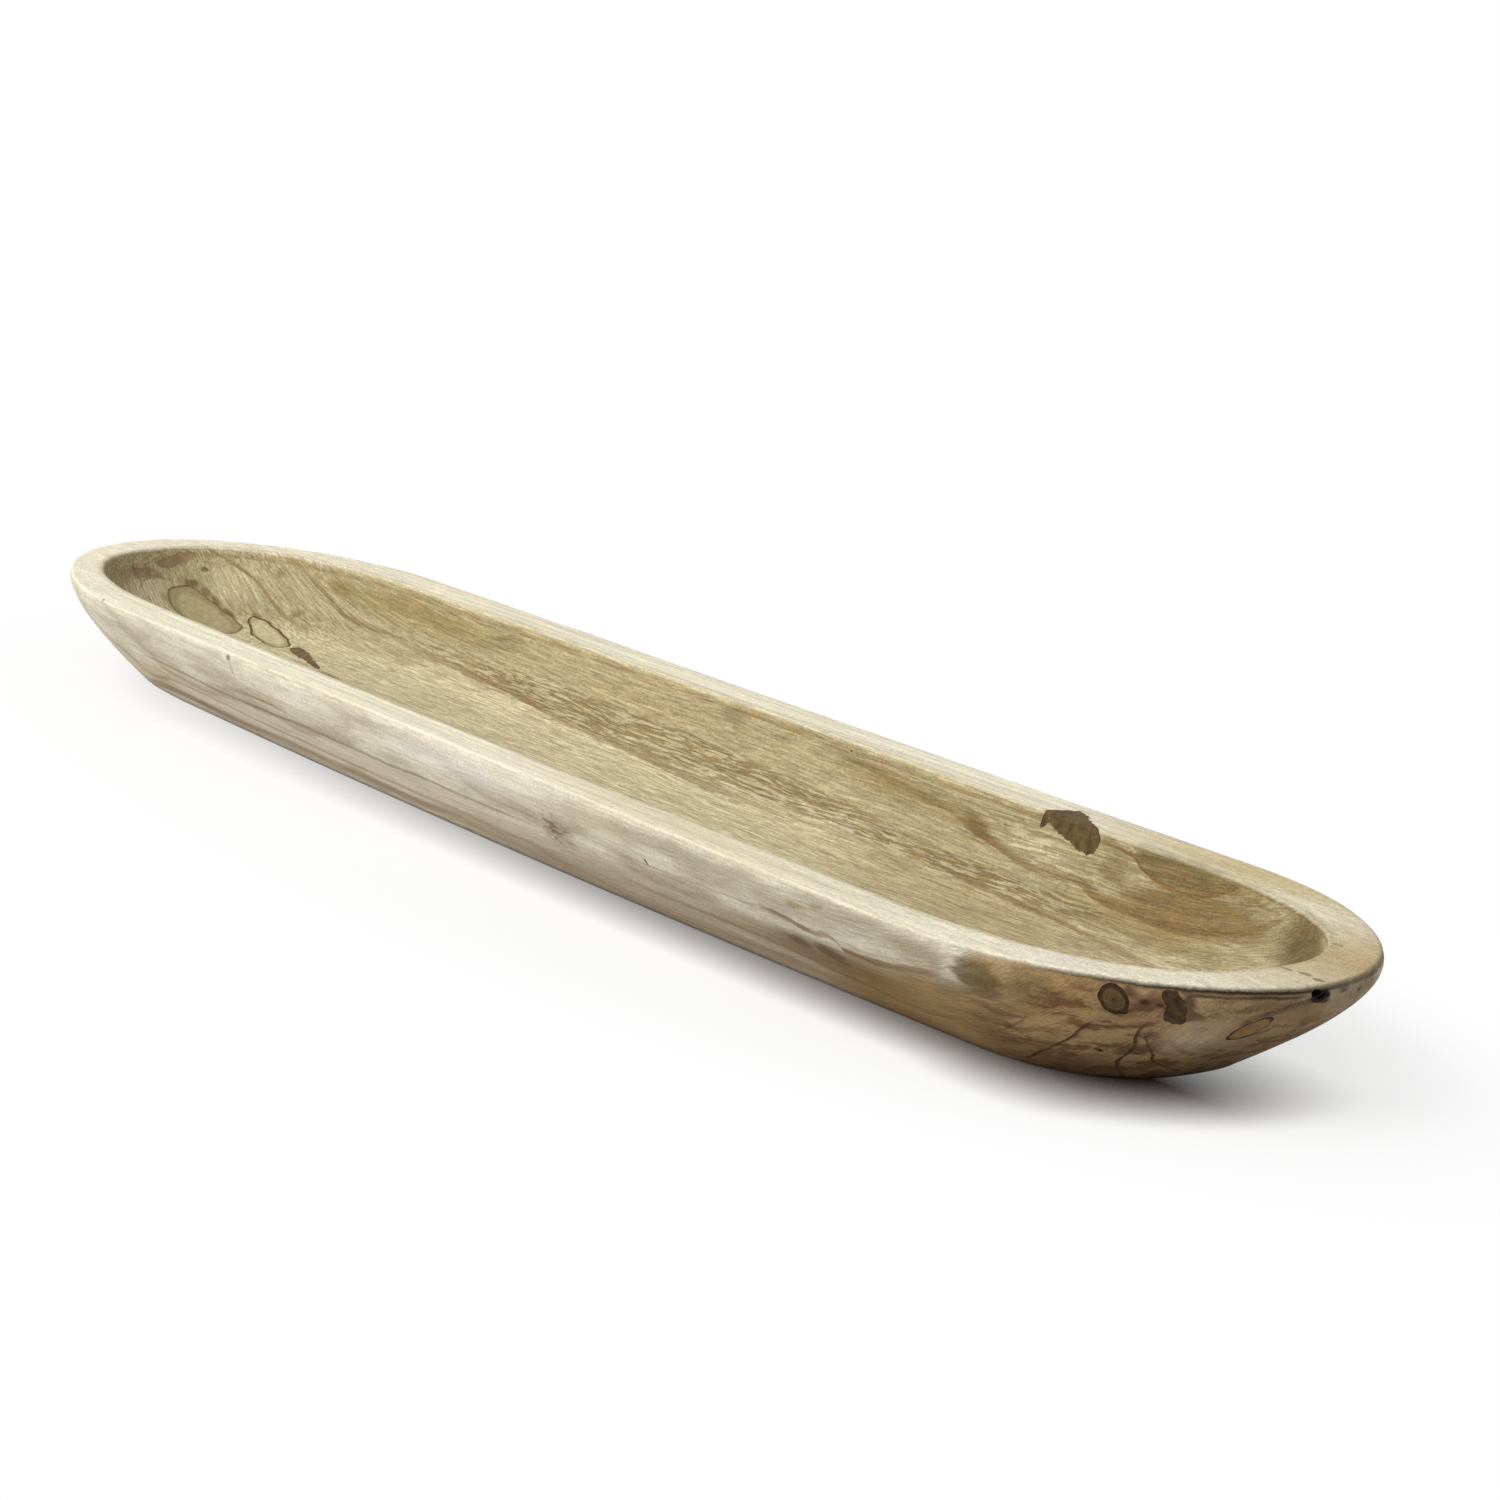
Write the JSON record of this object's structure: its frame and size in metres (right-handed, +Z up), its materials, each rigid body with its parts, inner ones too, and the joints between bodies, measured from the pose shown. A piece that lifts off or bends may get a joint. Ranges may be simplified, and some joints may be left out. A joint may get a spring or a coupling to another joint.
{
  "type": "wooden centerpiece bowl",
  "caption": "Long, shallow, boat-shaped bowl carved from one pale log, with a flat rim, a scooped hollow, dead knots and filled faults.",
  "frame": {"origin": "middle of the flat foot, on the surface that the bowl stands on", "axes": "+X along the length, towards the more raked end; +Z up; the far side wall, with the brown fill over its rim, is at +Y"},
  "size_m": [0.8, 0.125, 0.038],
  "materials": {
    "carved_wood": "hand carved and sanded, bare, with brown stains and ring lines",
    "knot_wood": "dead branch wood, fine rings, sanded flush",
    "bark": "dark crumbling bark, cut flush",
    "putty": "brown wood filler with pinholes, sanded flush"
  },
  "bodies": {
    "root": {"bowl_body": "carved_wood", "round_knot": "knot_wood", "end_oval_knot": "knot_wood", "great_knot": "knot_wood", "drop_knot": "knot_wood", "round_knot_bark": "bark", "great_knot_bark": "bark", "drop_knot_bark": "bark", "side_fill": "putty", "wall_fill": "putty", "tail_fill": "putty", "end_patch_low": "putty", "end_patch_high": "putty"}
  },
  "joints": []
}
